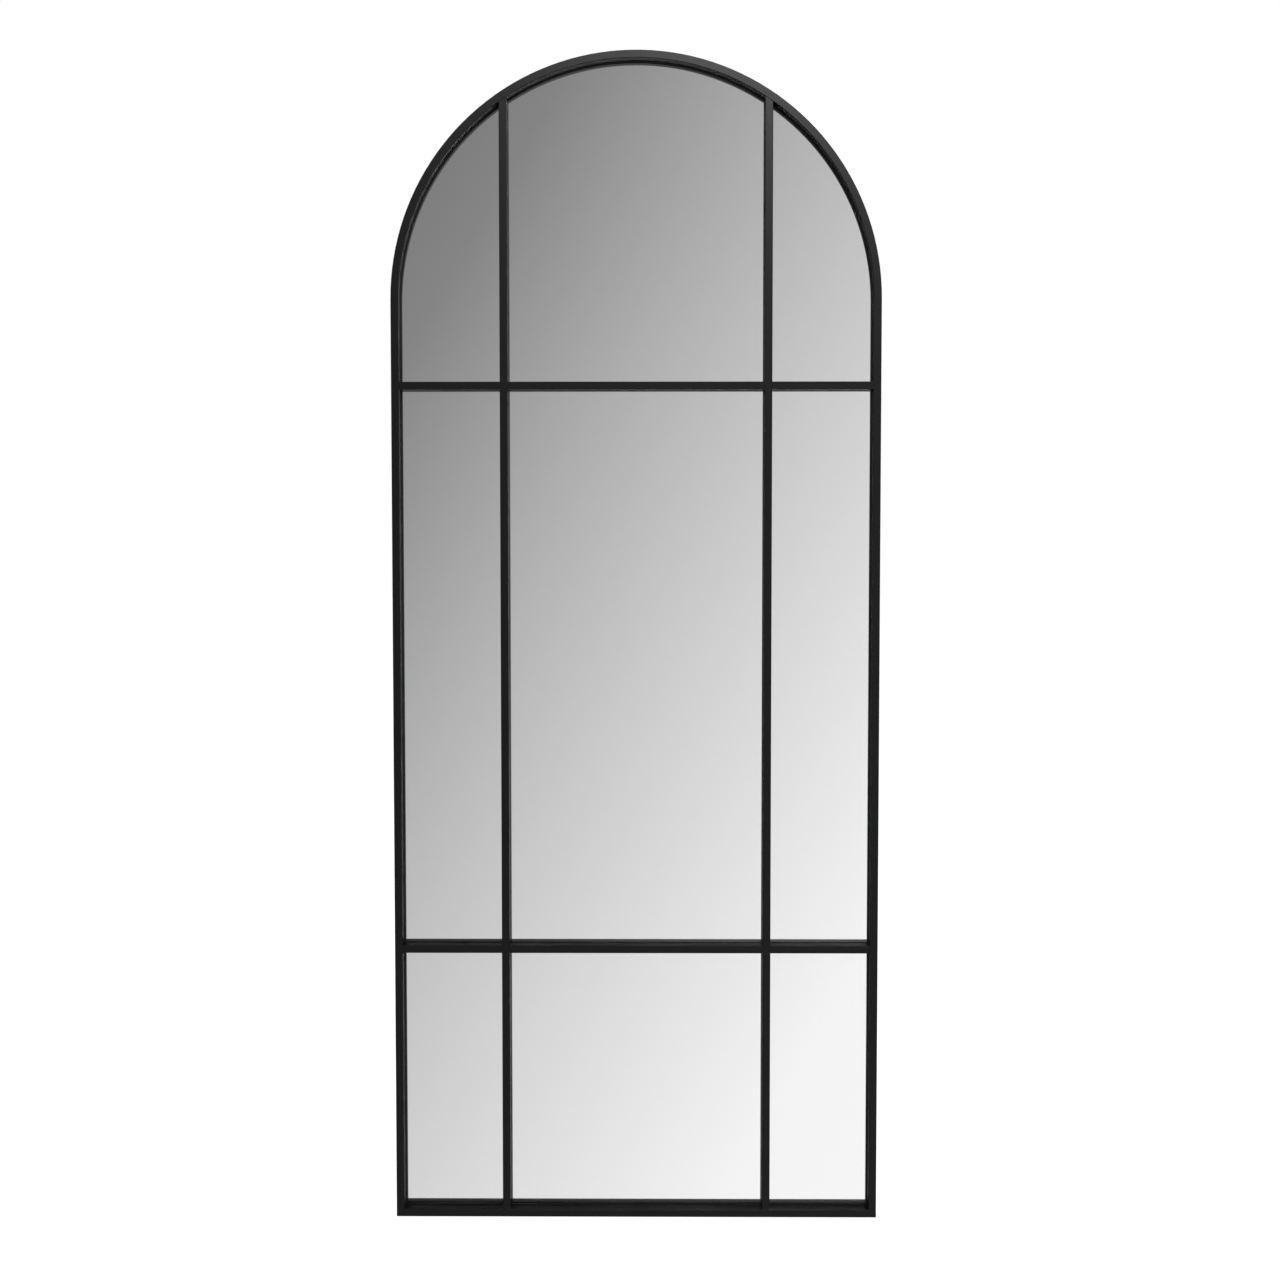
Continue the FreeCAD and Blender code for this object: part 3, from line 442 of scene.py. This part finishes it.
# What the mirror sees of the studio, by level + slopes . direction: the light falls off from the
# lower right to the upper left. Each stop is a level and its shade. Past the darkest stop the
# light comes back, and past the brightest it eases off.
STUDIO_LEVEL = 0.565
STUDIO_SLOPES = (1.72, 0.0, -1.06)
STUDIO_STOPS = (
    (-2.0, 0.95), (-0.9, 0.85), (-0.3, 0.55), (0.0, 0.26), (0.12, 0.20), (0.25, 0.25),
    (0.97, 0.97), (1.12, 1.0), (1.6, 0.92), (3.0, 0.80),
)
# Steeply downward the studio's floor is a little dimmer, from the first direction Z to the second.
FLOOR_DIM_FROM, FLOOR_DIM_TO, FLOOR_DIM = -0.34, -0.90, 0.80

# Each softbox: its name, its place, the point that it faces, its side and its power in watts.
SOFTBOXES = (
    ("front softbox", (0.40, -3.0, 3.02), (0.0, 0.0, 1.2), 1.0, 76.0),
    ("rear softbox", (-1.4, 3.0, 3.2), (0.0, 0.0, 1.0), 1.5, 80.0),
)

# The floor's side in metres, its own light, and its shade where the lamps light it.
FLOOR_SIDE = 60.0
FLOOR_GLOW = 0.80
FLOOR_SHADE = 0.35
WHITE = (1.0, 1.0, 1.0, 1.0)


def place_camera():
    """The camera, where the photograph was taken from."""
    data = bpy.data.cameras.new("camera")
    data.sensor_width = SENSOR_WIDTH
    data.lens = FOCAL_PIXELS / IMAGE_WIDTH * SENSOR_WIDTH
    data.clip_start, data.clip_end = CAMERA_CLIP
    camera = bpy.data.objects.new("camera", data)
    camera.location = CAMERA_PLACE
    turns = (90 - CAMERA_PITCH, CAMERA_ROLL, CAMERA_YAW)
    camera.rotation_euler = [math.radians(degrees) for degrees in turns]
    bpy.context.scene.collection.objects.link(camera)
    bpy.context.scene.camera = camera


def hang_softbox(name, place, aim, side, power):
    """A square lamp at a place, facing a point."""
    data = bpy.data.lights.new(name, "AREA")
    data.shape = "SQUARE"
    data.size = side
    data.energy = power
    lamp = bpy.data.objects.new(name, data)
    lamp.location = place
    direction = Vector(aim) - Vector(place)
    lamp.rotation_euler = direction.to_track_quat("-Z", "Y").to_euler()
    bpy.context.scene.collection.objects.link(lamp)


def light_world():
    """White behind the mirror for the camera, and the studio's falling light for all other rays."""
    world = bpy.data.worlds.new("studio")
    bpy.context.scene.world = world
    world.use_nodes = True
    tree = world.node_tree
    tree.nodes.clear()
    link = tree.links.new
    direction = tree.nodes.new("ShaderNodeTexCoord").outputs["Generated"]
    slope = tree.nodes.new("ShaderNodeVectorMath")
    slope.operation = "DOT_PRODUCT"
    slope.inputs[1].default_value = STUDIO_SLOPES
    link(direction, slope.inputs[0])
    first, last = STUDIO_STOPS[0][0], STUDIO_STOPS[-1][0]
    share = tree.nodes.new("ShaderNodeMapRange")
    share.inputs["From Min"].default_value = first - STUDIO_LEVEL
    share.inputs["From Max"].default_value = last - STUDIO_LEVEL
    link(slope.outputs["Value"], share.inputs["Value"])
    ramp = tree.nodes.new("ShaderNodeValToRGB")
    stops = ramp.color_ramp.elements
    while len(stops) < len(STUDIO_STOPS):
        stops.new(0.5)
    for stop, (level, shade) in zip(stops, STUDIO_STOPS):
        stop.position = (level - first) / (last - first)
        stop.color = (shade, shade, shade, 1.0)
    link(share.outputs["Result"], ramp.inputs["Fac"])
    studio = tree.nodes.new("ShaderNodeBackground")
    link(ramp.outputs["Color"], studio.inputs["Color"])
    height = tree.nodes.new("ShaderNodeSeparateXYZ")
    link(direction, height.inputs["Vector"])
    dimmer = tree.nodes.new("ShaderNodeMapRange")
    dimmer.inputs["From Min"].default_value = FLOOR_DIM_FROM
    dimmer.inputs["From Max"].default_value = FLOOR_DIM_TO
    dimmer.inputs["To Min"].default_value = 1.0
    dimmer.inputs["To Max"].default_value = FLOOR_DIM
    link(height.outputs["Z"], dimmer.inputs["Value"])
    link(dimmer.outputs["Result"], studio.inputs["Strength"])
    white = tree.nodes.new("ShaderNodeBackground")
    white.inputs["Color"].default_value = WHITE
    white.inputs["Strength"].default_value = 1.0
    path = tree.nodes.new("ShaderNodeLightPath")
    mix = tree.nodes.new("ShaderNodeMixShader")
    link(path.outputs["Is Camera Ray"], mix.inputs["Fac"])
    link(studio.outputs["Background"], mix.inputs[1])
    link(white.outputs["Background"], mix.inputs[2])
    output = tree.nodes.new("ShaderNodeOutputWorld")
    link(mix.outputs["Shader"], output.inputs["Surface"])


def lay_floor():
    """A floor under the mirror, as bright as the white behind it.

    Gloss and glass don't see it, because the mirror would turn white.
    """
    grid = bmesh.new()
    bmesh.ops.create_grid(grid, x_segments=1, y_segments=1, size=FLOOR_SIDE / 2)
    mesh = bpy.data.meshes.new("floor")
    grid.to_mesh(mesh)
    grid.free()
    floor = bpy.data.objects.new("floor", mesh)
    bpy.context.scene.collection.objects.link(floor)
    floor.location.z = CAD_BOX[0][2]
    paint = Finish(
        "white floor",
        {
            "Base Color": (FLOOR_SHADE, FLOOR_SHADE, FLOOR_SHADE, 1.0),
            "Roughness": 0.9,
            "Specular IOR Level": 0.0,
            "Emission Color": WHITE,
            "Emission Strength": FLOOR_GLOW,
        },
    )
    mesh.materials.append(paint.material)
    floor.visible_glossy = False
    floor.visible_transmission = False


# ---- the mirror ----

materials = dress_nodes()
rear_welds(materials["frame_black"])

place_camera()
light_world()
lay_floor()
for softbox in SOFTBOXES:
    hang_softbox(*softbox)
bpy.context.scene.view_settings.view_transform = "Standard"
